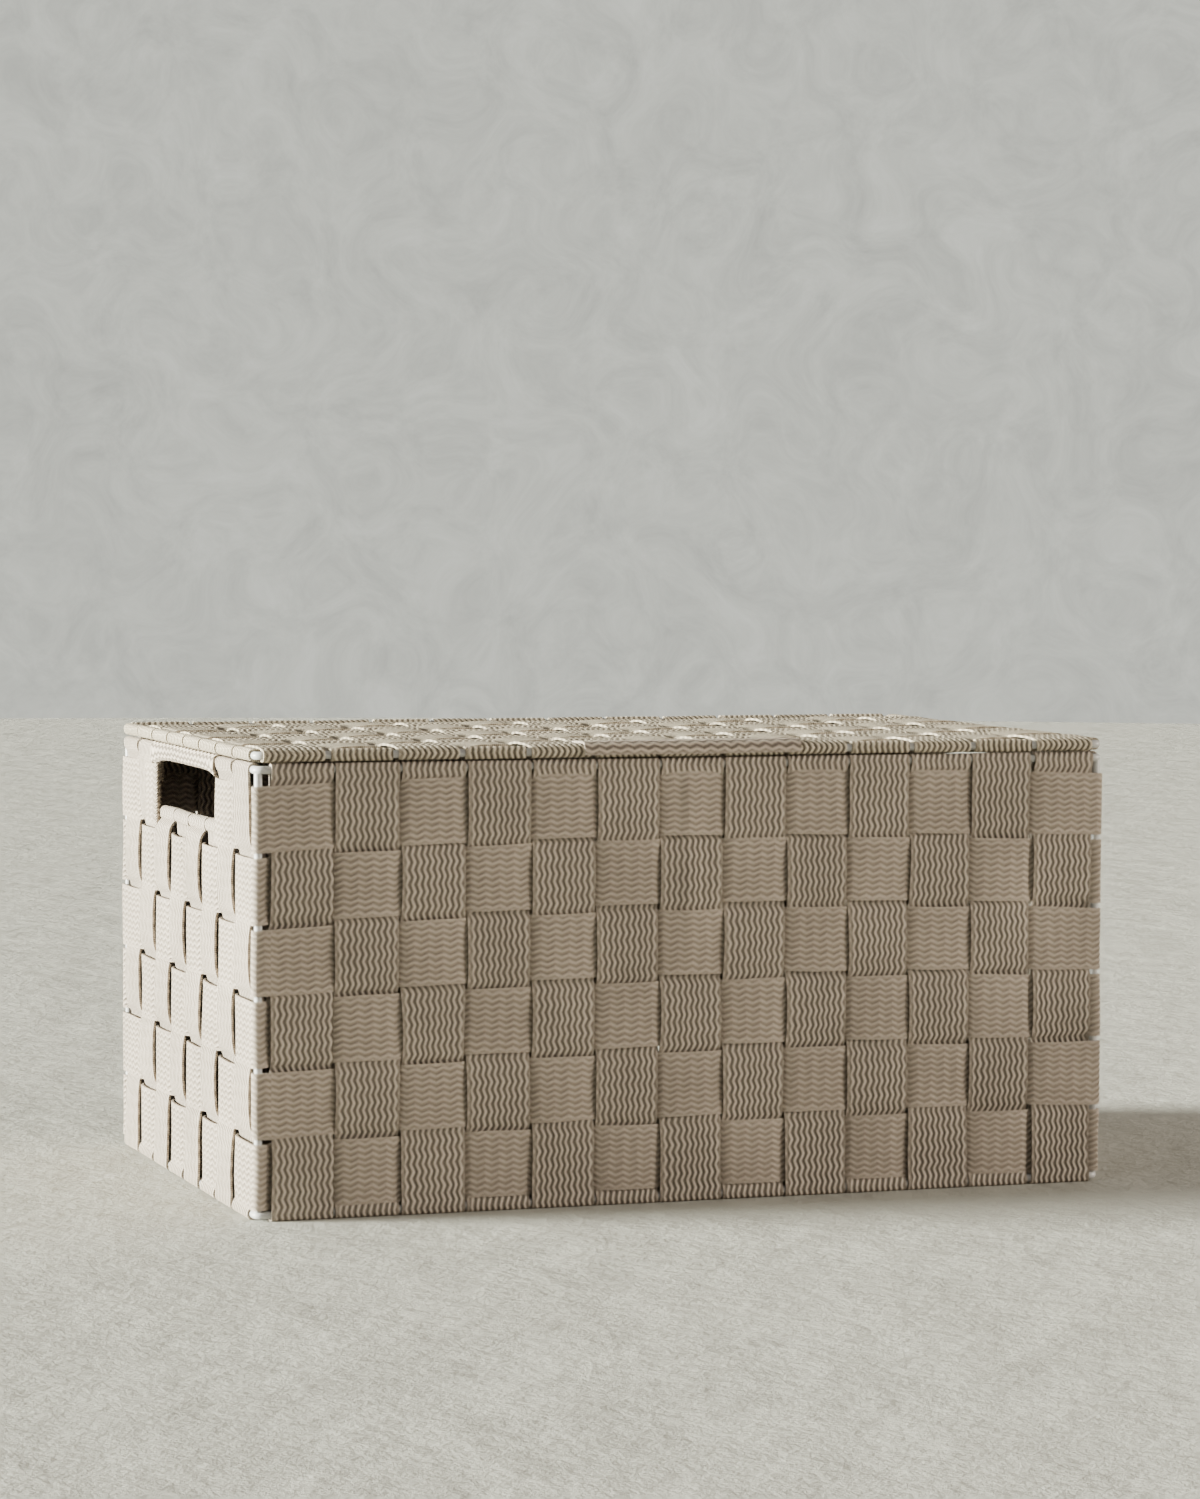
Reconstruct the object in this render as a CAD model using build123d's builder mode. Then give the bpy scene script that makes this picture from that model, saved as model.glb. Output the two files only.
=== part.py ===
"""Storage bin woven from flat webbing straps on a welded wire frame, with a hinged woven lid.

Millimetres, +Z up. The origin is the middle of the footprint, on the surface that the bin
stands on. The front, with the lid's grip, faces -Y, and the hand holes are in the -X and +X walls.
"""

import math
import os

from build123d import *

os.makedirs("parts", exist_ok=True)

# Weave: how many straps stand side by side, and their spacing
FRONT_COLUMNS = 13
SIDE_COLUMNS = 8
ROWS = 6
column_pitch = 29.6
row_pitch = 30.6
strap_width = 28.4
strap_thickness = 0.8
weave_clearance = 0.12  # from the wall's middle plane to the strap on each side of it
tail_length = 11.0  # strap end turned back over the wall

# Wire frame
wire_diameter = 3.5
wrap_clearance = 0.1  # between a wire and the strap round it
frame_corner = 2.5  # bend of the wire rings, to the wire's centre
strap_to_post = 4.0  # from the last strap's edge to the corner post's centre
wire_to_band = 4.55  # from a ring wire's centre to the nearest band's edge
weld_sink = 0.4  # how far welded wires sink into each other

# Hand holes
HOLE_COLUMNS = (3, 4, 5, 6)  # side columns, counted from the rear, that stop at the hole
bar_diameter = 2.0
bar_rise = 5.8  # from the second band's top edge to the bar's centre
bar_clearance = 0.16  # from the first band's folded ends to the bar
bar_tail = 6.0
front_fold_reach = 6.0  # how far the first band's fold stands out into the hole
rear_fold_reach = 3.0
gather_clearance = 0.4  # from a fold to the strap gathered beside it
grip_clearance = 0.6
grip_outer_radius = 3.0
grip_droop = 0.9

# Lid and hinge
lid_gap = 0.8  # from the rim's wraps to the lid's wraps
lid_tail_rise = 1.6
lid_tail_reach = 4.0
lid_grip_length = 101.0
lid_grip_thickness = 1.2
lid_grip_clearance = 0.25
lid_grip_lip = 1.5
lid_grip_flap = 14.0
lid_grip_flap_rise = 2.5
hinge_wire_diameter = 0.8
hinge_clearance = 0.15
HINGE_GAPS = (2, 5, 8, 11)  # the hinge rings sit in the gap after these front columns

# Places that follow from the sizes above
wire_radius = wire_diameter / 2
half_strap = strap_thickness / 2
weave_offset = half_strap + weave_clearance
wrap_radius = wire_radius + wrap_clearance + half_strap
wrap_outer = wrap_radius + half_strap
tail_offset = weave_offset + strap_thickness + weave_clearance
post_x = FRONT_COLUMNS * column_pitch / 2 - (column_pitch - strap_width) / 2 + strap_to_post
post_y = SIDE_COLUMNS * column_pitch / 2 - (column_pitch - strap_width) / 2 + strap_to_post
post_inset = frame_corner * (1 - math.cos(math.radians(45)))
wire_x = post_x + post_inset
wire_y = post_y + post_inset
wrapped_length = 2 * (wire_x + wrap_outer)
base_wire_z = wrap_outer
base_z = weave_offset + half_strap
bottom_band_z = base_wire_z + wire_to_band
rim_wire_z = bottom_band_z + (ROWS - 1) * row_pitch + strap_width + wire_to_band
lid_wire_z = rim_wire_z + 2 * wrap_outer + lid_gap
bar_radius = bar_diameter / 2
bar_x = wire_x - tail_offset - half_strap - bar_clearance - bar_radius
front_columns = range(1, FRONT_COLUMNS + 1)  # from left to right
side_columns = range(SIDE_COLUMNS, 0, -1)  # from front to rear


def front_column_x(column):
    """Middle of a front column, 1 at the left."""
    return (column - (FRONT_COLUMNS + 1) / 2) * column_pitch


def side_column_y(column):
    """Middle of a side column, 1 at the rear."""
    return ((SIDE_COLUMNS + 1) / 2 - column) * column_pitch


def band_z(row):
    """Bottom edge of a band, row 1 at the top."""
    return bottom_band_z + (ROWS - row) * row_pitch


bar_z = band_z(2) + strap_width + bar_rise


def headings(stops, closed):
    """Heading of each straight leg of a strap's route.

    A stop is (u, v, turn). A turn of 0 is a plain corner, and any other turn is the radius
    at which the strap goes round a wire centred there, to its left where it is positive.
    """
    ends = stops[1:] + stops[:1] if closed else stops[1:]
    angles = []
    for (u0, v0, turn0), (u1, v1, turn1) in zip(stops, ends):
        run = math.hypot(u1 - u0, v1 - v0)
        angles.append(math.atan2(v1 - v0, u1 - u0) - math.asin((turn1 - turn0) / run))
    return angles


def to_left(u, v, heading, distance):
    """The point at a distance to the left of (u, v), for someone facing along heading."""
    return (u - distance * math.sin(heading), v + distance * math.cos(heading))


def draw_side(stops, shift, closed):
    """Draws one side of a strap, shifted to the left of its route, and returns its two ends."""
    angles = headings(stops, closed)
    spots = []
    for i, (u, v, turn) in enumerate(stops):
        before = angles[i - 1] if i or closed else angles[0]
        after = angles[i] if i < len(angles) else angles[-1]
        if turn:
            sweep = math.copysign((math.copysign(1, turn) * (after - before)) % math.tau, turn)
            spots.append([to_left(u, v, before + part * sweep, shift - turn) for part in (0, 0.5, 1)])
        else:
            half_bend = ((after - before + math.pi) % math.tau - math.pi) / 2
            spots.append([to_left(u, v, before + half_bend, shift / math.cos(half_bend))])
    for spot, following in zip(spots, spots[1:] + spots[:1] if closed else spots[1:]):
        Line(spot[-1], following[0])
    for spot in spots:
        if len(spot) == 3:
            ThreePointArc(*spot)
    return spots[0][0], spots[-1][-1]


def strap_outline(stops):
    """Draws a strap's section round its route, in the line that is open."""
    left_start, left_end = draw_side(stops, half_strap, closed=False)
    right_start, right_end = draw_side(stops, -half_strap, closed=False)
    Line(left_start, right_start)
    Line(left_end, right_end)


def mirrored(stops):
    """The same route on the opposite wall, run the other way."""
    return [(-u, v, turn) for u, v, turn in reversed(stops)]


def over_the_rim(wall, outside):
    """Strap end on a wall at u = -wall: over the rim wire, from its tail to the first band."""
    band_top = band_z(1) + strap_width
    if outside:
        tail_u = -wall + tail_offset
        tail = [(tail_u, band_top - tail_length, 0), (tail_u, band_top, 0)]
        return tail + [(-wall, rim_wire_z, wrap_radius)]
    tail = [(-wall - tail_offset, band_top + weave_clearance, 0)]
    return tail + [(-wall, rim_wire_z, -wrap_radius)]


def over_the_bar():
    """Strap end on a side wall: over the bar below the hand hole, from its tail downwards."""
    turn = bar_radius + wrap_clearance + half_strap
    return [(-bar_x + turn, bar_z - bar_tail, 0), (-bar_x, bar_z, turn)]


def down_the_wall(wall, first_row, is_outside):
    """Route of a strap down the wall at u = -wall and round the base wire."""
    stops = []
    for row in range(first_row, ROWS + 1):
        u = -wall - (weave_offset if is_outside(row) else -weave_offset)
        stops += [(u, band_z(row) + strap_width, 0), (u, band_z(row), 0)]
    return stops + [(-wall, base_wire_z, wrap_radius)]


def across(places, height, is_above):
    """Route of a level strap past the crossing straps, whose middles are at the places."""
    stops = []
    for index, place in enumerate(places):
        v = height + (weave_offset if is_above(index) else -weave_offset)
        stops += [(place - strap_width / 2, v, 0), (place + strap_width / 2, v, 0)]
    return stops


# Wire frame: two rings joined by four posts, and a bar below each hand hole. The lid's is a third ring

ring_corners = [(-wire_x, -wire_y), (wire_x, -wire_y), (wire_x, wire_y), (-wire_x, wire_y)]
for name, height in (("base_wire", base_wire_z), ("rim_wire", rim_wire_z), ("lid_wire", lid_wire_z)):
    with BuildPart() as wire_ring:
        with BuildLine(Plane.XY.offset(height)) as ring_line:
            FilletPolyline(*ring_corners, radius=frame_corner, close=True)
        with BuildSketch(Plane(origin=ring_line.line @ 0, z_dir=ring_line.line % 0)):
            Circle(wire_radius)
        sweep()
    wire_ring.part.label = name
    export_step(wire_ring.part, f"parts/{name}.step")

with BuildPart() as corner_posts:
    post_bottom = base_wire_z + wire_radius - weld_sink
    post_top = rim_wire_z - wire_radius + weld_sink
    with BuildSketch(Plane.XY.offset(post_bottom)):
        with GridLocations(2 * post_x, 2 * post_y, 2, 2):
            Circle(wire_radius)
    extrude(amount=post_top - post_bottom)
corner_posts.part.label = "corner_posts"
export_step(corner_posts.part, "parts/corner_posts.step")

for side, sign in (("left", -1), ("right", 1)):
    with BuildPart() as handhole_bar:
        with BuildSketch(Plane.XZ):
            with Locations((sign * bar_x, bar_z)):
                Circle(bar_radius)
        extrude(amount=post_y, both=True)
    handhole_bar.part.label = f"{side}_handhole_bar"
    export_step(handhole_bar.part, f"parts/{side}_handhole_bar.step")

# Straps that run down the front, under the base and up the back

for column in front_columns:
    down_front = over_the_rim(wire_y, (1 + column) % 2 == 1)
    down_front += down_the_wall(wire_y, 1, lambda row: (row + column) % 2 == 1)
    down_back = over_the_rim(wire_y, (1 + column) % 2 == 0)
    down_back += down_the_wall(wire_y, 1, lambda row: (row + column) % 2 == 0)
    under = across([side_column_y(side) for side in side_columns], base_z,
                   lambda index: (column + side_columns[index]) % 2 == 1)
    with BuildPart() as front_back_strap:
        with BuildSketch(Plane.YZ.offset(front_column_x(column) - strap_width / 2)):
            with BuildLine():
                strap_outline(down_front + under + mirrored(down_back))
            make_face()
        extrude(amount=strap_width)
    front_back_strap.part.label = f"front_back_strap_{column:02d}"
    export_step(front_back_strap.part, f"parts/front_back_strap_{column:02d}.step")

# Straps that run down one side, under the base and up the other. Those at the hand holes stop at the
# bars, and the outer two of them make room for the folded ends of the first band

fold_radius = (tail_offset + weave_offset) / 2
fold_shift = (tail_offset - weave_offset) / 2
front_edge_y = side_column_y(HOLE_COLUMNS[-1] + 1) + strap_width / 2
rear_edge_y = side_column_y(HOLE_COLUMNS[0] - 1) - strap_width / 2
front_fold_tip = front_edge_y + front_fold_reach + fold_radius + half_strap
rear_fold_tip = rear_edge_y - rear_fold_reach - fold_radius - half_strap
fold_edges = {HOLE_COLUMNS[-1]: front_fold_tip + gather_clearance,
              HOLE_COLUMNS[0]: rear_fold_tip - gather_clearance}
gather_side = {HOLE_COLUMNS[-1]: Align.MAX, HOLE_COLUMNS[0]: Align.MIN}

for side_column in range(1, SIDE_COLUMNS + 1):
    at_hole = side_column in HOLE_COLUMNS
    down_side = over_the_bar() if at_hole else over_the_rim(wire_x, (1 + side_column) % 2 == 1)
    down_side += down_the_wall(wire_x, 2 if at_hole else 1, lambda row: (row + side_column) % 2 == 1)
    under = across([front_column_x(column) for column in front_columns], base_z,
                   lambda index: (index + 1 + side_column) % 2 == 0)
    with BuildPart() as side_strap:
        with BuildSketch(Plane.XZ.offset(-side_column_y(side_column) - strap_width / 2)):
            with BuildLine():
                strap_outline(down_side + under + mirrored(down_side))
            make_face()
        extrude(amount=strap_width)
        if side_column in fold_edges:
            # The strap is gathered narrower, clear of the fold in the band beside it
            with BuildSketch(Plane.XY.offset(band_z(2) + strap_width + gather_clearance)):
                with Locations((0, fold_edges[side_column])):
                    Rectangle(wrapped_length, strap_width, align=(Align.CENTER, gather_side[side_column]))
            extrude(amount=row_pitch, mode=Mode.SUBTRACT)
    side_strap.part.label = f"side_strap_{side_column}"
    export_step(side_strap.part, f"parts/side_strap_{side_column}.step")

# Level bands, which go outside the corner posts


def turned(stops):
    """The same stops half a turn round the bin."""
    return [(-u, -v, turn) for u, v, turn in stops]


def along_front(row, upright_parity):
    """A band's stops along the front wall, from left to right."""
    stops = []
    for column in front_columns:
        out = -weave_offset if (row + column) % 2 == upright_parity else weave_offset
        middle = front_column_x(column)
        stops += [(middle - strap_width / 2, -wire_y - out, 0), (middle + strap_width / 2, -wire_y - out, 0)]
    return stops


def along_right(row, columns):
    """A band's stops along the right wall, towards the rear."""
    stops = []
    for column in columns:
        out = -weave_offset if (row + column) % 2 == 1 else weave_offset
        middle = side_column_y(column)
        stops += [(wire_x + out, middle - strap_width / 2, 0), (wire_x + out, middle + strap_width / 2, 0)]
    return stops


def along_left(row, columns):
    """A band's stops along the left wall, towards the front."""
    return mirrored(along_right(row, columns))


front_right_post = [(post_x, -post_y, wrap_radius)]
rear_right_post = [(post_x, post_y, wrap_radius)]
rear_left_post = turned(front_right_post)
front_left_post = turned(rear_right_post)

for row in range(2, ROWS + 1):
    ring = along_front(row, 1) + front_right_post + along_right(row, side_columns)
    ring += rear_right_post + turned(along_front(row, 0)) + rear_left_post
    ring += along_left(row, side_columns) + front_left_post
    with BuildPart() as band:
        with BuildSketch(Plane.XY.offset(band_z(row))):
            with BuildLine():
                draw_side(ring, -half_strap, closed=True)
            make_face()
            with BuildLine():
                draw_side(ring, half_strap, closed=True)
            make_face(mode=Mode.SUBTRACT)
        extrude(amount=strap_width)
    band.part.label = f"band_row_{row}"
    export_step(band.part, f"parts/band_row_{row}.step")

# The first band is in two, and each end is folded round the upright strap beside a hand hole

front_fold = [(wire_x - fold_shift, front_edge_y + front_fold_reach, fold_radius),
              (wire_x - tail_offset, front_edge_y - tail_length, 0)]
front_sides = range(SIDE_COLUMNS, HOLE_COLUMNS[-1], -1)
with BuildPart() as band_row_1_front:
    front_band = mirrored(front_fold) + along_left(1, front_sides) + front_left_post
    front_band += along_front(1, 1) + front_right_post
    front_band += along_right(1, front_sides) + front_fold
    with BuildSketch(Plane.XY.offset(band_z(1))):
        with BuildLine():
            strap_outline(front_band)
        make_face()
    extrude(amount=strap_width)
band_row_1_front.part.label = "band_row_1_front"
export_step(band_row_1_front.part, "parts/band_row_1_front.step")

rear_fold = [(wire_x + tail_offset, rear_edge_y + tail_length, 0),
             (wire_x + fold_shift, rear_edge_y - rear_fold_reach, -fold_radius)]
rear_sides = range(HOLE_COLUMNS[0] - 1, 0, -1)
with BuildPart() as band_row_1_back:
    back_band = rear_fold + along_right(1, rear_sides) + rear_right_post
    back_band += turned(along_front(1, 0)) + rear_left_post
    back_band += along_left(1, rear_sides) + mirrored(rear_fold)
    with BuildSketch(Plane.XY.offset(band_z(1))):
        with BuildLine():
            strap_outline(back_band)
        make_face()
    extrude(amount=strap_width)
band_row_1_back.part.label = "band_row_1_back"
export_step(band_row_1_back.part, "parts/band_row_1_back.step")

# Hand grips: webbing rolled lengthwise round the rim wire above each hand hole

for side, sign in (("left", -1), ("right", 1)):
    with BuildPart() as hand_grip:
        with BuildSketch(Plane.XZ):
            with Locations((sign * wire_x, rim_wire_z - grip_droop / 2)):
                SlotCenterToCenter(grip_droop, 2 * grip_outer_radius, rotation=90)
            with Locations((sign * wire_x, rim_wire_z)):
                Circle(wire_radius + wrap_clearance, mode=Mode.SUBTRACT)
        extrude(amount=front_edge_y + grip_clearance, both=True)
    hand_grip.part.label = f"{side}_hand_grip"
    export_step(hand_grip.part, f"parts/{side}_hand_grip.step")

# Hinge: steel rings that hold the rim wire and the lid's wire, one above the other

with BuildPart() as hinge_rings:
    ring_radius = wire_radius + hinge_clearance + hinge_wire_diameter / 2
    for column in HINGE_GAPS:
        gap_x = front_column_x(column) + column_pitch / 2
        with BuildLine(Plane.YZ.offset(gap_x)) as ring_line:
            right_side = Line((wire_y + ring_radius, rim_wire_z), (wire_y + ring_radius, lid_wire_z))
            left_side = Line((wire_y - ring_radius, lid_wire_z), (wire_y - ring_radius, rim_wire_z))
            ThreePointArc(right_side @ 1, (wire_y, lid_wire_z + ring_radius), left_side @ 0)
            ThreePointArc(left_side @ 1, (wire_y, rim_wire_z - ring_radius), right_side @ 0)
        with BuildSketch(Plane(origin=right_side @ 0, z_dir=right_side % 0)):
            Circle(hinge_wire_diameter / 2)
        sweep()
hinge_rings.part.label = "hinge_rings"
export_step(hinge_rings.part, "parts/hinge_rings.step")

# Lid: straps woven across its wire ring, and a grip folded over its front edge


def over_the_lid_wire(wall, above, first_crossing):
    """Strap end at u = -wall: round the lid's wire, from its tail to the first crossing."""
    if above:
        edge = first_crossing - strap_width / 2
        tail = [(edge + tail_length, lid_wire_z - tail_offset, 0), (edge, lid_wire_z - tail_offset, 0)]
        return tail + [(-wall, lid_wire_z, -wrap_radius)]
    tail = [(-wall + lid_tail_reach, lid_wire_z + lid_tail_rise, 0)]
    return tail + [(-wall, lid_wire_z, wrap_radius)]


for column in front_columns:
    places = [side_column_y(side) for side in side_columns]
    front_end = over_the_lid_wire(wire_y, (column + SIDE_COLUMNS) % 2 == 1, places[0])
    rear_end = over_the_lid_wire(wire_y, (column + 1) % 2 == 1, places[0])
    top = across(places, lid_wire_z, lambda index: (column + side_columns[index]) % 2 == 1)
    with BuildPart() as lid_cross_strap:
        with BuildSketch(Plane.YZ.offset(front_column_x(column) - strap_width / 2)):
            with BuildLine():
                strap_outline(front_end + top + mirrored(rear_end))
            make_face()
        extrude(amount=strap_width)
    lid_cross_strap.part.label = f"lid_cross_strap_{column:02d}"
    export_step(lid_cross_strap.part, f"parts/lid_cross_strap_{column:02d}.step")

for side_column in range(1, SIDE_COLUMNS + 1):
    places = [front_column_x(column) for column in front_columns]
    end = over_the_lid_wire(wire_x, (1 + side_column) % 2 == 0, places[0])
    top = across(places, lid_wire_z, lambda index: (index + 1 + side_column) % 2 == 0)
    with BuildPart() as lid_long_strap:
        with BuildSketch(Plane.XZ.offset(-side_column_y(side_column) - strap_width / 2)):
            with BuildLine():
                strap_outline(end + top + mirrored(end))
            make_face()
        extrude(amount=strap_width)
    lid_long_strap.part.label = f"lid_long_strap_{side_column}"
    export_step(lid_long_strap.part, f"parts/lid_long_strap_{side_column}.step")

with BuildPart() as lid_grip:
    grip_turn = wrap_outer + lid_grip_clearance + lid_grip_thickness / 2
    grip_route = [(-wire_y - grip_turn, lid_wire_z - lid_grip_lip, 0), (-wire_y, lid_wire_z, -grip_turn),
                  (-wire_y + lid_grip_flap, lid_wire_z + lid_grip_flap_rise, 0)]
    with BuildSketch(Plane.YZ.offset(-lid_grip_length / 2)):
        with BuildLine():
            outer_start, outer_end = draw_side(grip_route, lid_grip_thickness / 2, closed=False)
            inner_start, inner_end = draw_side(grip_route, -lid_grip_thickness / 2, closed=False)
            Line(outer_start, inner_start)
            Line(outer_end, inner_end)
        make_face()
    extrude(amount=lid_grip_length)
lid_grip.part.label = "lid_grip"
export_step(lid_grip.part, "parts/lid_grip.step")
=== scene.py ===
"""Looks of the woven storage bin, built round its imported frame. Metres, +Z up, front towards -Y."""

import math

import bmesh
import bpy
from mathutils import Matrix, Vector, noise


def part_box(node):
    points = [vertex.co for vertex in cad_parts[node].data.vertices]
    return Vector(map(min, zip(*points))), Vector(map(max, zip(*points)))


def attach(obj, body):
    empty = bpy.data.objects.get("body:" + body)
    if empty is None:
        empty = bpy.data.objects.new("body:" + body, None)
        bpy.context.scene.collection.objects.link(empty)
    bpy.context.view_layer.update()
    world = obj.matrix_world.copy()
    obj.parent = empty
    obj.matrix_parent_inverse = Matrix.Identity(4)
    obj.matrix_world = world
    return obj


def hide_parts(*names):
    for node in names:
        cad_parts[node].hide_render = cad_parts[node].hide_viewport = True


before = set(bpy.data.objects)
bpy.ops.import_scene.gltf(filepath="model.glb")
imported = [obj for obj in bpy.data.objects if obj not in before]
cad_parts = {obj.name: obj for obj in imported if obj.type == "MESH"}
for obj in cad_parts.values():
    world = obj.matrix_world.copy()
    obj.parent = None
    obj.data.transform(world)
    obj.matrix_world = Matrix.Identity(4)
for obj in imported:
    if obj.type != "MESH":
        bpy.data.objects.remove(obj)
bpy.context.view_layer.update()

# Camera: a long lens about two metres off, in front of the bin's left corner and a little above its lid,
# turned slightly down and to the right.

eye = Vector((-0.6688, -1.9371, 0.3040))
eye_turn = math.radians(19.043)
eye_drop = math.radians(3.103)
eye_roll = math.radians(0.2593)
camera_data = bpy.data.cameras.new("camera")
camera_data.lens = 105.92
camera_data.sensor_width = 36
camera = bpy.data.objects.new("camera", camera_data)
looking = Vector((math.sin(eye_turn) * math.cos(eye_drop), math.cos(eye_turn) * math.cos(eye_drop),
                  -math.sin(eye_drop)))
camera.location = eye
camera.rotation_mode = "QUATERNION"
level_roll = Matrix.Rotation(eye_roll, 3, "Z").to_quaternion()
camera.rotation_quaternion = looking.to_track_quat("-Z", "Y") @ level_roll
bpy.context.scene.collection.objects.link(camera)
bpy.context.scene.camera = camera

# Light: a low, wide sun from the left and a little behind, a broad warm fill low on the right that lights the
# front, and an even pale room.

sun_drop = math.radians(7.5)
sun_data = bpy.data.lights.new("sun", "SUN")
sun_data.energy = 37.0
sun_data.angle = math.radians(22)
sun_data.color = (0.98, 1.0, 0.91)
sun = bpy.data.objects.new("sun", sun_data)
sun_travel = Vector((0.97, -0.24, -math.tan(sun_drop)))
sun.rotation_mode = "QUATERNION"
sun.rotation_quaternion = sun_travel.to_track_quat("-Z", "Y")
bpy.context.scene.collection.objects.link(sun)

fill_data = bpy.data.lights.new("fill", "AREA")
fill_data.size = 0.9
fill_data.energy = 118
fill_data.color = (1.0, 0.9, 0.78)
fill = bpy.data.objects.new("fill", fill_data)
fill.location = (3.0, -1.25, 0.7)
fill.rotation_mode = "QUATERNION"
fill.rotation_quaternion = (-fill.location).to_track_quat("-Z", "Y")
bpy.context.scene.collection.objects.link(fill)

room = bpy.data.worlds.new("room")
room.use_nodes = True
room.node_tree.nodes["Background"].inputs["Color"].default_value = (1.0, 0.95, 0.88, 1)
room.node_tree.nodes["Background"].inputs["Strength"].default_value = 0.46
bpy.context.scene.world = room

# Floor: a wide disc of pale plaster, floated by hand, so its tone and its surface vary together. It is
# scenery and belongs to neither body.

floor_radius = 4.5
plaster_hollow = (0.30, 0.293, 0.250, 1)
plaster_crest = (0.43, 0.419, 0.358, 1)


def new_material(name):
    """A node material, and its node tree and shader."""
    material = bpy.data.materials.new(name)
    material.use_nodes = True
    return material, material.node_tree, material.node_tree.nodes["Principled BSDF"]


def add_node(tree, kind, **inputs):
    """A node of a kind, with its inputs linked to sockets or set to values."""
    made = tree.nodes.new("ShaderNode" + kind)
    for key, value in inputs.items():
        socket = made.inputs[int(key[1:])] if key[0] == "_" else made.inputs[key]
        if isinstance(value, bpy.types.NodeSocket):
            tree.links.new(value, socket)
        else:
            socket.default_value = value
    return made


def calculate(tree, operation, first, second=0.0, third=0.0):
    """The result socket of a Math node."""
    made = add_node(tree, "Math", _0=first, _1=second, _2=third)
    made.operation = operation
    return made.outputs[0]


def scenery(name, bm, material):
    """A piece of the surroundings, made of a bmesh."""
    mesh = bpy.data.meshes.new(name)
    bm.to_mesh(mesh)
    bm.free()
    mesh.materials.append(material)
    made = bpy.data.objects.new(name, mesh)
    bpy.context.scene.collection.objects.link(made)
    return made


plaster, tree, shader = new_material("plaster")
place = add_node(tree, "TexCoord").outputs["Object"]
grain = add_node(tree, "TexNoise", Vector=place, Scale=14.0, Detail=9.0, Roughness=0.68)
shade = add_node(tree, "MixRGB", Fac=grain.outputs["Fac"], Color1=plaster_hollow, Color2=plaster_crest)
tree.links.new(shade.outputs["Color"], shader.inputs["Base Color"])
shader.inputs["Roughness"].default_value = 0.9
bump = add_node(tree, "Bump", Strength=0.8, Distance=0.012, Height=grain.outputs["Fac"])
tree.links.new(bump.outputs["Normal"], shader.inputs["Normal"])

bm = bmesh.new()
bmesh.ops.create_circle(bm, cap_ends=True, segments=128, radius=floor_radius)
floor = scenery("floor", bm, plaster)

# Backdrop: a plain round wall at the floor's edge, its glow faintly trowelled. It throws no light or shadow
# on the bin.

wall_radius = 4.4
wall_height = 12

wall_paint, tree, shader = new_material("wall_paint")
place = add_node(tree, "TexCoord").outputs["Object"]
trowel = add_node(tree, "TexNoise", Vector=place, Scale=9.0, Detail=10.0, Roughness=0.7, Distortion=1.5)
glow = add_node(tree, "Emission", Color=(0.98, 1.0, 0.90, 1),
                Strength=calculate(tree, "MULTIPLY_ADD", trowel.outputs["Fac"], 0.6, 0.42))
tree.links.new(glow.outputs["Emission"], tree.nodes["Material Output"].inputs["Surface"])
bm = bmesh.new()
bmesh.ops.create_cone(bm, segments=96, radius1=wall_radius, radius2=wall_radius, depth=wall_height)
backdrop = scenery("backdrop", bm, wall_paint)
for ray in ("diffuse", "glossy", "transmission", "volume_scatter", "shadow"):
    setattr(backdrop, "visible_" + ray, False)

# Wire frame: round steel wire, spot welded and coated grey-white. It shows bare at the corners of the rim,
# of the foot and of the lid, and at the small gaps beside the corner posts. The frame's own wires are kept.

coat_shade = (0.36, 0.355, 0.34, 1)
coat_light = (0.50, 0.49, 0.47, 1)

wire_paint, tree, shader = new_material("wire_paint")
place = add_node(tree, "TexCoord").outputs["Object"]
speckle = add_node(tree, "TexNoise", Vector=place, Scale=900.0, Detail=3.0)
shade = add_node(tree, "MixRGB", Fac=speckle.outputs["Fac"], Color1=coat_shade, Color2=coat_light)
tree.links.new(shade.outputs["Color"], shader.inputs["Base Color"])
shader.inputs["Roughness"].default_value = 0.38
bump = add_node(tree, "Bump", Strength=0.2, Distance=0.0002, Height=speckle.outputs["Fac"])
tree.links.new(bump.outputs["Normal"], shader.inputs["Normal"])

for name in ("base_wire", "rim_wire", "corner_posts", "left_handhole_bar", "right_handhole_bar", "lid_wire",
             "hinge_rings"):
    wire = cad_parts[name]
    wire.data.materials.clear()
    wire.data.materials.append(wire_paint)

rim_low, rim_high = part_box("rim_wire")
wire_radius = (rim_high.z - rim_low.z) / 2
wall_x = rim_high.x - wire_radius
wall_y = rim_high.y - wire_radius
rim_z = rim_low.z + wire_radius
foot_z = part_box("base_wire")[0].z + wire_radius
lid_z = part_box("lid_wire")[0].z + wire_radius
post_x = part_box("corner_posts")[1].x - wire_radius
post_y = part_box("corner_posts")[1].y - wire_radius

# Webbing: herringbone tape of matt greige yarn, about ten ridges wide, each ridge swinging from side to side,
# with a flatter selvedge at each edge. Every strap is cut from it. A strap is drawn as a soft line, drawn
# out to its width and thickened, and its "tape" UV measures across and along it in metres.

ridge_pitch = 0.0027
zigzag_length = 0.00645
zigzag_reach = 0.00065
selvedge = 0.0018
tape_middle = 0.0142
yarn_pitch = 0.0009
yarn_slant = 0.7
ridge_wander = 0.0016
ridge_sharpness = 1.2
selvedge_flatness = 0.6
yarn_height = 0.2
fuzz_height = 0.5
groove_height = 0.22
ridge_height = 0.8
relief = 0.0013


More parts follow.
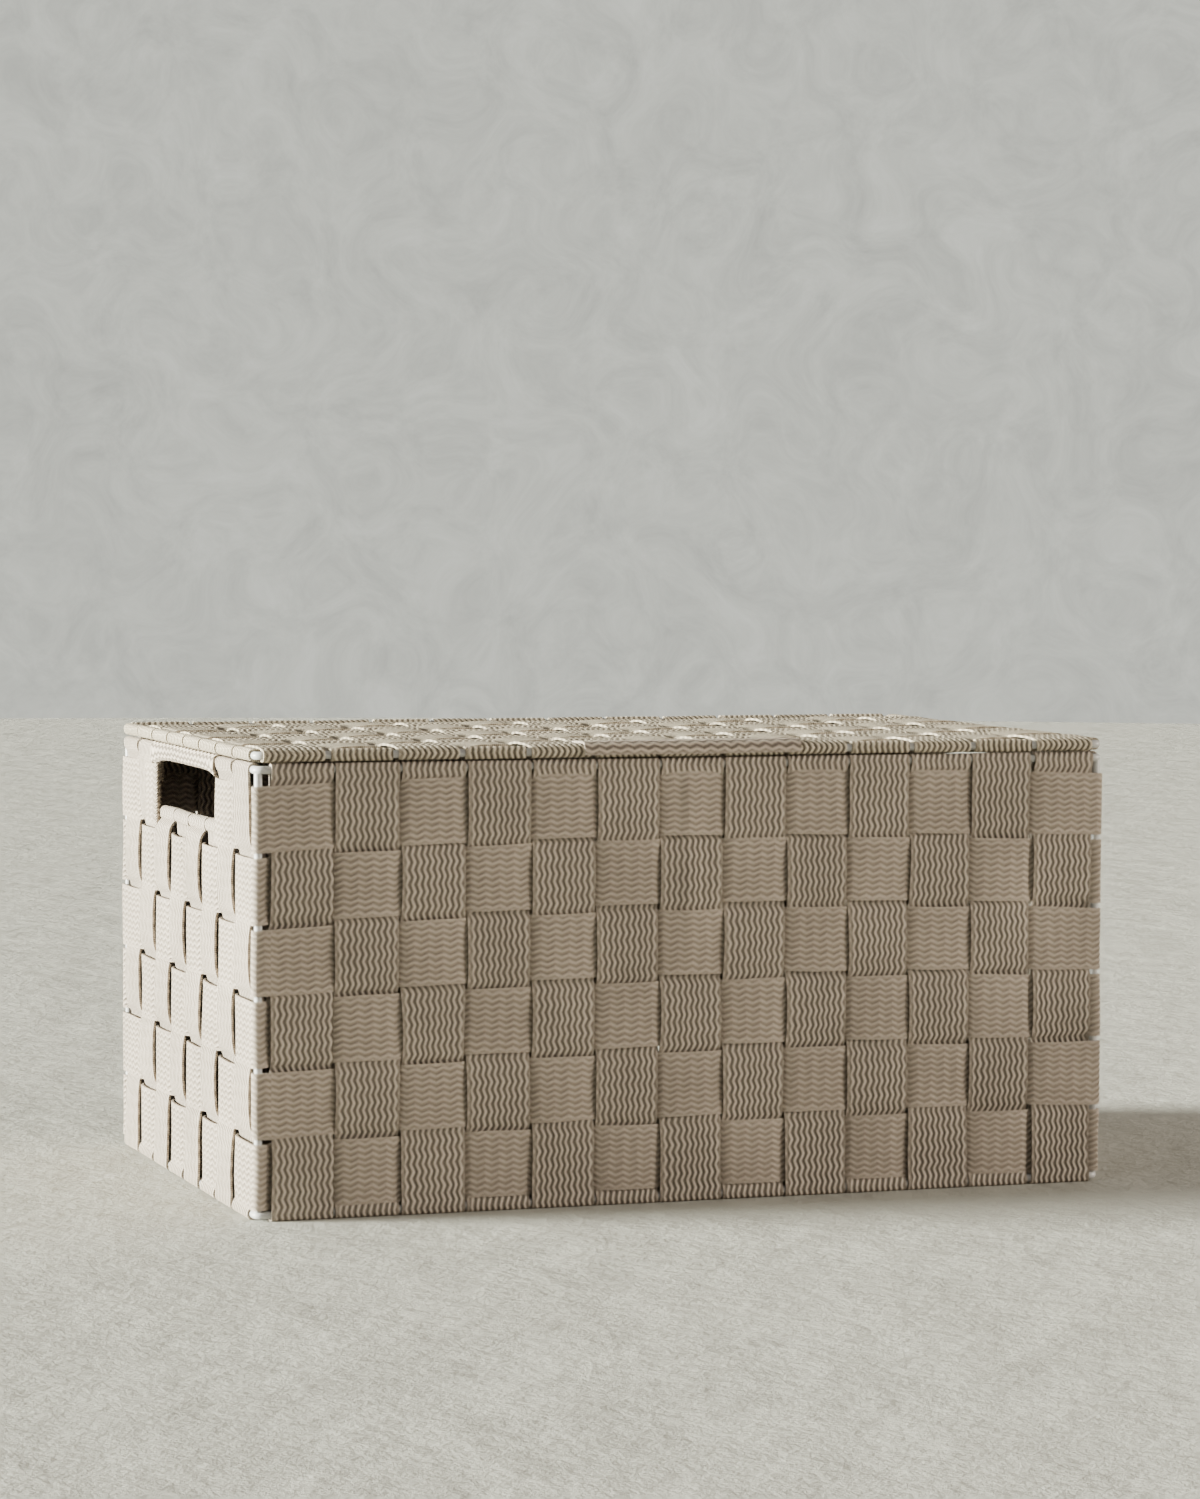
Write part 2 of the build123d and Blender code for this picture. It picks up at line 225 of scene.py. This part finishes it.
def tape_material(name, groove_shade_colour, yarn_colour, bead_relief_and_highlight):
    """Woven tape: its colour and its relief both follow the ridges, drawn along the strap's own UV; the
    colour's dark grooves are painted shade and its bright beads painted highlights.
    """
    material, tree, shader = new_material(name)
    tape = add_node(tree, "UVMap")
    tape.uv_map = "tape"
    split = add_node(tree, "SeparateXYZ", Vector=tape.outputs["UV"])
    across, along = split.outputs["X"], split.outputs["Y"]
    place = add_node(tree, "TexCoord").outputs["Object"]
    wander = add_node(tree, "TexNoise", Vector=place, Scale=70.0, Detail=2.0).outputs["Fac"]
    swing = calculate(tree, "PINGPONG", along, zigzag_length / 2)
    shift = calculate(tree, "MULTIPLY", swing, 4 * zigzag_reach / zigzag_length)
    shift = calculate(tree, "MULTIPLY_ADD", wander, ridge_wander, shift)
    from_middle = calculate(tree, "SUBTRACT", across, tape_middle)
    ridge_place = calculate(tree, "ADD", from_middle, shift)
    ridge_turn = calculate(tree, "MULTIPLY", ridge_place, math.tau / ridge_pitch)
    ridge = calculate(tree, "MULTIPLY_ADD", calculate(tree, "COSINE", ridge_turn), 0.5, 0.5)
    ridge = calculate(tree, "POWER", ridge, ridge_sharpness)
    # the bead lifts each ridge once a zigzag, in the relief and as a painted highlight in the colour
    bead = calculate(tree, "COSINE", calculate(tree, "MULTIPLY", along, math.tau / zigzag_length))
    ridge = calculate(tree, "MULTIPLY_ADD", calculate(tree, "MULTIPLY", bead, ridge), bead_relief_and_highlight, ridge)
    slant = calculate(tree, "MULTIPLY_ADD", across, yarn_slant, along)
    yarn = calculate(tree, "COSINE", calculate(tree, "MULTIPLY", slant, math.tau / yarn_pitch))
    fuzz = add_node(tree, "TexNoise", Vector=place, Scale=1300.0, Detail=2.0).outputs["Fac"]
    edge = add_node(tree, "MapRange", Value=calculate(tree, "ABSOLUTE", from_middle))
    edge.inputs["From Min"].default_value = tape_middle - selvedge
    edge.inputs["From Max"].default_value = tape_middle - selvedge * 0.5
    edge = calculate(tree, "MULTIPLY", edge.outputs["Result"], selvedge_flatness)
    height = add_node(tree, "Mix", Factor=edge, A=ridge, B=0.5).outputs["Result"]
    height = calculate(tree, "MULTIPLY_ADD", yarn, yarn_height, height)
    height = calculate(tree, "MULTIPLY_ADD", fuzz, fuzz_height, height)
    # the colour darkens from the ridge tops down into the grooves: painted shade
    tone = add_node(tree, "ValToRGB", Fac=calculate(tree, "SUBTRACT", height, groove_height))
    tone.color_ramp.elements[0].color = groove_shade_colour
    tone.color_ramp.elements[0].position = 0.0
    tone.color_ramp.elements[1].color = yarn_colour
    tone.color_ramp.elements[1].position = ridge_height
    patch = add_node(tree, "TexNoise", Vector=place, Scale=22.0, Detail=4.0, Roughness=0.6).outputs["Fac"]
    patched = add_node(tree, "HueSaturation", Color=tone.outputs["Color"],
                       Value=calculate(tree, "MULTIPLY_ADD", patch, 0.5, 0.75))
    tree.links.new(patched.outputs["Color"], shader.inputs["Base Color"])
    shader.inputs["Roughness"].default_value = 0.8
    shader.inputs["Specular IOR Level"].default_value = 0.12
    bump = add_node(tree, "Bump", Strength=1.0, Distance=relief, Height=height)
    tree.links.new(bump.outputs["Normal"], shader.inputs["Normal"])
    return material


# the cloth of the uprights and grips: its dark groove colour is painted shade
webbing = tape_material("webbing", (0.16, 0.13, 0.10, 1), (0.635, 0.54, 0.435, 1), 0.12)

strap_thickness = 0.001
strap_bulge = 0.0016
wrap_reach = wire_radius + 0.0005
plateau = 0.0132
strap_cuts = 7
ripple_scale = 38
ripple_reach = 0.0006
ripple_seed = 3  # without a seed, the ripple would be a new one on every run
still_by_wire = 0.012
lid_stillness = 0.004

noise.seed_set(ripple_seed)


def smooth_line(stops, closed):
    """The mesh of a soft line that the stops pull into shape."""
    curve = bpy.data.curves.new("line", "CURVE")
    curve.dimensions = "3D"
    spline = curve.splines.new("NURBS")
    spline.points.add(len(stops) - 1)
    for point, stop in zip(spline.points, stops):
        point.co = (*stop, 1)
    spline.order_u = 3
    spline.use_endpoint_u = True
    spline.use_cyclic_u = closed
    spline.resolution_u = 8
    holder = bpy.data.objects.new("line", curve)
    mesh = bpy.data.meshes.new_from_object(holder)
    bpy.data.objects.remove(holder)
    bpy.data.curves.remove(curve)
    return mesh


def strap(name, body, stops, width_way, closed=False, cloth=webbing):
    """A strap whose one edge follows the stops, and whose width runs along width_way."""
    line = smooth_line(stops, closed)
    bm = bmesh.new()
    bm.from_mesh(line)
    bpy.data.meshes.remove(line)
    bm.verts.ensure_lookup_table()
    along = bm.verts.layers.float.new("along")
    across = bm.verts.layers.float.new("across")
    run = 0.0
    for previous, vert in zip(bm.verts[:-1], bm.verts[1:]):
        run += (vert.co - previous.co).length
        vert[along] = run
    full_run = run + (bm.verts[-1].co - bm.verts[0].co).length
    made = bmesh.ops.extrude_edge_only(bm, edges=bm.edges[:])["geom"]
    far_side = [part for part in made if isinstance(part, bmesh.types.BMVert)]
    bmesh.ops.translate(bm, verts=far_side, vec=width_way)
    for vert in far_side:
        vert[across] = width_way.length
    far = set(far_side)
    rungs = [part for part in bm.edges if (part.verts[0] in far) != (part.verts[1] in far)]
    bmesh.ops.subdivide_edges(bm, edges=rungs, cuts=strap_cuts)
    for vert in bm.verts:
        lid_distance = abs(vert.co.z - lid_z) + lid_stillness
        near_wire = min(abs(vert.co.z - rim_z), abs(vert.co.z - foot_z), lid_distance)
        ease = min(1.0, near_wire / still_by_wire)
        vert.co += noise.noise_vector(vert.co * ripple_scale) * ripple_reach * ease
    uv = bm.loops.layers.uv.new("tape")
    for face in bm.faces:
        face.smooth = True
        joins_up = closed and max(loop.vert[along] for loop in face.loops) > full_run * 0.75
        for loop in face.loops:
            at = loop.vert[along]
            loop[uv].uv = (loop.vert[across], full_run if joins_up and at < full_run * 0.25 else at)
    for side in bm.edges:
        side.smooth = not side.is_boundary
    mesh = bpy.data.meshes.new(name)
    bm.to_mesh(mesh)
    bm.free()
    mesh.materials.append(cloth)
    piece = bpy.data.objects.new(name + "_webbing", mesh)
    bpy.context.scene.collection.objects.link(piece)
    body_of_tape = piece.modifiers.new("thickness", "SOLIDIFY")
    body_of_tape.thickness = strap_thickness
    body_of_tape.offset = 0
    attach(piece, body)
    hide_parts(name)
    return piece


# Front and back straps: each goes from the rim down the front, under the base and up the back, over one
# band and under the next, and its ends are turned over the rim wire.

ROWS = 6
row_low = {row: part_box(f"band_row_{row}")[0].z for row in range(2, ROWS + 1)}
strap_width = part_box("band_row_2")[1].z - row_low[2]
row_low[1] = 2 * row_low[2] - row_low[3]
row_middle = {row: low + strap_width / 2 for row, low in row_low.items()}
first_top = row_low[1] + strap_width
column_x = [sum(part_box(f"front_back_strap_{c:02d}")[i].x for i in (0, 1)) / 2 for c in range(1, 14)]
side_y = [sum(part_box(f"side_strap_{k}")[i].y for i in (0, 1)) / 2 for k in range(1, 9)]
base_bulge = 0.0006
end_inset = 0.0012
base_z = base_bulge + strap_thickness / 2 + 0.0001
tail_length = 0.011
tail_depth = 0.0026
tucked_length = 0.005
tucked_lift = 0.0005


def down_a_wall(number, first_row, parity, bulge=strap_bulge):
    """A strap's stops down a wall as (distance out from the wall, height)."""
    stops = []
    for row in range(first_row, ROWS + 1):
        out = bulge if (row + number) % 2 == parity else -bulge
        stops += [(out, row_middle[row] + plateau), (out, row_middle[row] - plateau)]
    return stops + [(wrap_reach, foot_z + wrap_reach * 0.6), (wrap_reach, foot_z - wrap_reach),
                    (-wrap_reach, foot_z - wrap_reach)]


def turned_over_the_rim(tail_inside):
    """A strap's end over the rim wire, from its tail, which lies inside the wall or is tucked outside."""
    if tail_inside:
        start = [(-tail_depth, first_top - tail_length), (-tail_depth, first_top),
                 (-wrap_reach, rim_z - wrap_reach * 0.5)]
        return start + [(-wrap_reach, rim_z + wrap_reach), (wrap_reach, rim_z + wrap_reach)]
    start = [(0, first_top - tucked_length), (tucked_lift, first_top),
             (wrap_reach, rim_z - wrap_reach * 0.8)]
    return start + [(wrap_reach, rim_z + wrap_reach), (-wrap_reach, rim_z + wrap_reach),
                    (-wrap_reach, rim_z - wrap_reach)]


crease_x = column_x[6] - 0.001
crease_low = row_low[3]
crease_half_width = 0.0045
crease_height = 0.0012
crease_low_fade = 0.03
crease_top_fade = 0.01


def crease_front(piece):
    """The soft upright crease in the upper front wall, at its middle column."""
    for vert in piece.data.vertices:
        nearness = max(0, 1 - abs(vert.co.x - crease_x) / crease_half_width)
        above_foot = min(1, max(0, (vert.co.z - crease_low) / crease_low_fade))
        below_rim = min(1, max(0, (rim_z - vert.co.z) / crease_top_fade))
        if vert.co.y < 0:
            vert.co.y -= crease_height * nearness * (above_foot * below_rim)


for column, x in enumerate(column_x, 1):
    front = turned_over_the_rim(column % 2 == 0) + down_a_wall(column, 1, 1)
    back = turned_over_the_rim(column % 2 == 1) + down_a_wall(column, 1, 0)
    stops = [(-wall_y - out, z) for out, z in front]
    for number in range(8, 0, -1):
        z = base_z + (base_bulge if (column + number) % 2 == 1 else -base_bulge)
        stops += [(side_y[number - 1] - plateau, z), (side_y[number - 1] + plateau, z)]
    stops += [(wall_y + out, z) for out, z in reversed(back)]
    inset = end_inset if column in (1, 13) else 0
    left = x - strap_width / 2 + inset
    made = strap(f"front_back_strap_{column:02d}", "bin", [(left, y, z) for y, z in stops],
                 Vector((strap_width - (inset if column == 1 else 0), 0, 0)))
    crease_front(made)

# Side straps: the same weave from the left wall under the base to the right wall. Four of them stop at the
# hand holes, turned over the bar there.

bar_low, bar_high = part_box("left_handhole_bar")
bar_z = (bar_low.z + bar_high.z) / 2
bar_in = wall_x + (bar_low.x + bar_high.x) / 2
roll_reach = 0.0024
roll_tail = 0.006
roll_tuck = 0.001
HOLE = (3, 4, 5, 6)


def turned_over_the_bar():
    """A strap's end over the bar below a hand hole."""
    return [(-bar_in - roll_reach, bar_z - roll_tail), (-bar_in - roll_reach, bar_z + roll_reach),
            (-bar_in + roll_reach, bar_z + roll_reach), (-bar_in + roll_reach, bar_z - roll_reach),
            (-bar_in + roll_tuck, bar_z - roll_reach)]


side_width = 0.0266
side_bulge = 0.0019
gathered_width = 0.0250
roll_flare = 0.15
flare_height = 0.007

for number, y in enumerate(side_y, 1):
    at_hole = number in HOLE
    width = gathered_width if at_hole else side_width
    wall = turned_over_the_bar() if at_hole else turned_over_the_rim(number % 2 == 0)
    wall += down_a_wall(number, 2 if at_hole else 1, 1, side_bulge)
    stops = [(-wall_x - out, z) for out, z in wall]
    for column, x in enumerate(column_x, 1):
        z = base_z + (base_bulge if (column + number) % 2 == 0 else -base_bulge)
        stops += [(x - plateau, z), (x + plateau, z)]
    stops += [(wall_x + out, z) for out, z in reversed(wall)]
    near = y - width / 2
    made = strap(f"side_strap_{number}", "bin", [(x, near, z) for x, z in stops], Vector((0, width, 0)))
    if at_hole:
        for vert in made.data.vertices:
            closeness = max(0, 1 - abs(vert.co.z - bar_z) / flare_height)
            vert.co.y = y + (vert.co.y - y) * (1 + roll_flare * closeness)

# Bands: level rings of webbing, woven past the uprights and pulled square round the corner posts. The first
# is in two, and each end is folded round the upright beside a hand hole. The light runs along their ridges,
# so their cloth is a lit copy of the webbing, with paler painted shade in its grooves and brighter painted
# highlights on its beads.

level_webbing = tape_material("level_webbing", (0.32, 0.267, 0.205, 1), (0.57, 0.482, 0.392, 1), 0.3)
corner_reach = wrap_reach + 0.0001
corner_lead = 0.0022


def round_the_post(x_way, y_way):
    """A band's stops round the outside of a corner post, from the long wall to the side wall."""
    x, y = post_x + corner_reach, post_y + corner_reach
    return [(x_way * (post_x - corner_lead), y_way * y), (x_way * x, y_way * y),
            (x_way * x, y_way * (post_y - corner_lead))]


def band_front(row, parity):
    """A band's stops along the front wall, as (x, distance out)."""
    stops = []
    for column, x in enumerate(column_x, 1):
        out = -strap_bulge if (row + column) % 2 == parity else strap_bulge
        stops += [(x - plateau, out), (x + plateau, out)]
    return stops


def band_side(row, numbers):
    """A band's stops along a side wall towards the rear, as (y, distance out)."""
    stops = []
    for number in numbers:
        out = -strap_bulge if (row + number) % 2 == 1 else strap_bulge
        stops += [(side_y[number - 1] - plateau, out), (side_y[number - 1] + plateau, out)]
    return stops


band_drop = 0.0024
band_pull = 0.0046
pull_loss = 0.0007


def band_edge(row, x, y):
    """Lower edge of a band: it droops to the corners and is pulled up along the middle of a long wall."""
    pull = band_pull - pull_loss * abs(row - 2)
    return row_low[row] - band_drop + pull * (1 - (x / wall_x) ** 2)


for row in range(2, ROWS + 1):
    all_sides = range(8, 0, -1)
    stops = [(x, -wall_y - out) for x, out in band_front(row, 1)]
    stops += round_the_post(1, -1)
    stops += [(wall_x + out, y) for y, out in band_side(row, all_sides)]
    stops += reversed(round_the_post(1, 1))
    stops += [(x, wall_y + out) for x, out in reversed(band_front(row, 0))]
    stops += round_the_post(-1, 1)
    stops += [(-wall_x - out, y) for y, out in reversed(band_side(row, all_sides))]
    stops += reversed(round_the_post(-1, -1))
    crease_front(strap(f"band_row_{row}", "bin", [(x, y, band_edge(row, x, y)) for x, y in stops],
                       Vector((0, 0, strap_width)), closed=True, cloth=level_webbing))

front_edge = side_y[6] + strap_width / 2
rear_edge = side_y[1] - strap_width / 2
front_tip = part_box("band_row_1_front")[1].y
rear_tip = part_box("band_row_1_back")[0].y
right = [(wall_x + out, y) for y, out in band_side(1, (8, 7))]
right += [(wall_x + tucked_lift, front_tip), (wall_x - tail_depth, front_tip),
          (wall_x - tail_depth, front_edge - tail_length)]
stops = [(-x, y) for x, y in reversed(right)] + list(reversed(round_the_post(-1, -1)))
stops += [(x, -wall_y - out) for x, out in band_front(1, 1)] + round_the_post(1, -1) + right
crease_front(strap("band_row_1_front", "bin", [(x, y, band_edge(1, x, y)) for x, y in stops],
                   Vector((0, 0, strap_width)), cloth=level_webbing))

right = [(wall_x + tail_depth, rear_edge + tail_length), (wall_x + tail_depth, rear_tip),
         (wall_x - tucked_lift, rear_tip)]
right += [(wall_x + out, y) for y, out in band_side(1, (2, 1))]
stops = right + list(reversed(round_the_post(1, 1)))
stops += [(x, wall_y + out) for x, out in reversed(band_front(1, 0))]
stops += round_the_post(-1, 1) + [(-x, y) for x, y in reversed(right)]
strap("band_row_1_back", "bin", [(x, y, band_edge(1, x, y)) for x, y in stops],
      Vector((0, 0, strap_width)), cloth=level_webbing)

# Hand grips: webbing rolled lengthwise round the rim wire above each hand hole, with its ends drooping a
# little and its lower edges left open underneath.

grip_end_droop = 0.0028
grip_lip = 0.001
grip_outer_edge = 0.0012
grip_inner_edge = 0.0008


def weave_lengthwise(piece):
    """Turns the herringbone to run the length of a grip."""
    for corner in piece.data.uv_layers["tape"].data:
        round_it, lengthwise = corner.uv.y, corner.uv.x
        corner.uv = (round_it, lengthwise)


for side, way in (("left", -1), ("right", 1)):
    name = f"{side}_hand_grip"
    low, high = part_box(name)
    reach = (high.x - low.x) / 2
    x = (high.x + low.x) / 2
    stops = [(x + way * grip_outer_edge, low.z), (x + way * reach, low.z + grip_lip),
             (x + way * reach, high.z), (x - way * reach, high.z),
             (x - way * reach, low.z + grip_lip), (x - way * grip_inner_edge, low.z)]
    grip = strap(name, "bin", [(u, low.y, z) for u, z in stops], Vector((0, high.y - low.y, 0)))
    weave_lengthwise(grip)
    for vert in grip.data.vertices:
        if vert.co.z < rim_z:
            vert.co.z -= grip_end_droop * abs(vert.co.y / high.y) ** 6

# Lid: its own wire ring with straps woven across it, front to back and left to right, their ends turned round
# the ring and tucked. The row beside the hinge lies flat, so the lid can swing right back past the rim.

lid_sag = 0.0004
lid_bulge = 0.003
hinge_bulge = 0.0007
lid_tape_width = 0.0272
lid_spread = 1.012
lid_slip = 0.0008
lid_tail_length = 0.022
lid_tail_bend = 0.008
lid_tail_drop = 0.0018
lid_tuck_length = 0.006
lid_tuck_lift = 0.0008
wire_exit = 0.0009
hinge_dip = 0.0026
hinge_dip_height = 0.001


# a copy of the webbing for the raking light on the lid: much darker painted shade in its grooves and paler
# yarn, a painted highlight
lid_webbing = tape_material("lid_webbing", (0.08, 0.062, 0.04, 1), (0.71, 0.615, 0.465, 1), 0.12)


def lid_rise(x, y):
    """Height of the woven panel over its wire: it sags a little in the middle."""
    return -lid_sag * (1 - (x / wall_x) ** 2) * (1 - (y / wall_y) ** 2)


def round_the_lid_wire(leaves_above):
    """A lid strap's end round the wire, from its tucked tail, as (distance out, height)."""
    if leaves_above:
        return [(-lid_tail_length, -lid_tail_drop), (-lid_tail_bend, -lid_tail_drop),
                (-wrap_reach, -wrap_reach), (wrap_reach, -wrap_reach), (wrap_reach, wrap_reach),
                (-wrap_reach, wrap_reach)]
    return [(-lid_tuck_length, lid_tuck_lift), (-wrap_reach, wrap_reach), (wrap_reach, wrap_reach),
            (wrap_reach, -wrap_reach), (-wrap_reach, -wrap_reach)]


def round_the_hinge_wire(leaves_above):
    """A cross strap's end round the rear wire, which it leaves low, to clear the rim with the lid back."""
    around = round_the_lid_wire(leaves_above)
    if leaves_above:
        return around[:-1] + [(-wire_exit, wrap_reach), (-hinge_dip, hinge_bulge)]
    return [(-lid_tuck_length, hinge_bulge), (-hinge_dip, hinge_dip_height),
            (-wire_exit, wrap_reach)] + around[2:]


for column, x in enumerate(column_x, 1):
    stops = [(-wall_y - out, z) for out, z in round_the_lid_wire(column % 2 == 1)]
    for number in range(8, 0, -1):
        bulge = hinge_bulge if number == 1 else lid_bulge
        up = bulge if (column + number) % 2 == 1 else -bulge
        stops += [(side_y[number - 1] - plateau, up), (side_y[number - 1] + plateau, up)]
    stops += [(wall_y + out, z) for out, z in reversed(round_the_hinge_wire(column % 2 == 0))]
    left = x * lid_spread - lid_slip - lid_tape_width / 2
    stops = [(left, y, lid_z + z + lid_rise(x, y)) for y, z in stops]
    strap(f"lid_cross_strap_{column:02d}", "lid", stops, Vector((lid_tape_width, 0, 0)), cloth=lid_webbing)

for number, y in enumerate(side_y, 1):
    end = round_the_lid_wire(number % 2 == 1)
    stops = [(-wall_x - out, z) for out, z in end]
    for column, x in enumerate(column_x, 1):
        bulge = hinge_bulge if number == 1 else lid_bulge
        up = bulge if (column + number) % 2 == 0 else -bulge
        middle = x * lid_spread - lid_slip
        stops += [(middle - plateau, up), (middle + plateau, up)]
    stops += [(wall_x + out, z) for out, z in reversed(end)]
    near = (y if number == 1 else y * lid_spread) - lid_tape_width / 2
    stops = [(x, near, lid_z + z + lid_rise(x, y)) for x, z in stops]
    strap(f"lid_long_strap_{number}", "lid", stops, Vector((0, lid_tape_width, 0)), cloth=lid_webbing)

# Lid grip: a length of webbing folded over the lid's front wire, its herringbone running left to right and
# its rear flap lying on the lid.

flap_bend = 0.004
flap_dip = 0.0006
low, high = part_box("lid_grip")
grip_reach = -wall_y - low.y - strap_thickness / 2
stops = [(-wall_y - grip_reach, low.z), (-wall_y - grip_reach, lid_z + grip_reach),
         (-wall_y + flap_bend, high.z), (high.y, high.z - flap_dip)]
grip = strap("lid_grip", "lid", [(low.x, y, z) for y, z in stops], Vector((high.x - low.x, 0, 0)))
weave_lengthwise(grip)
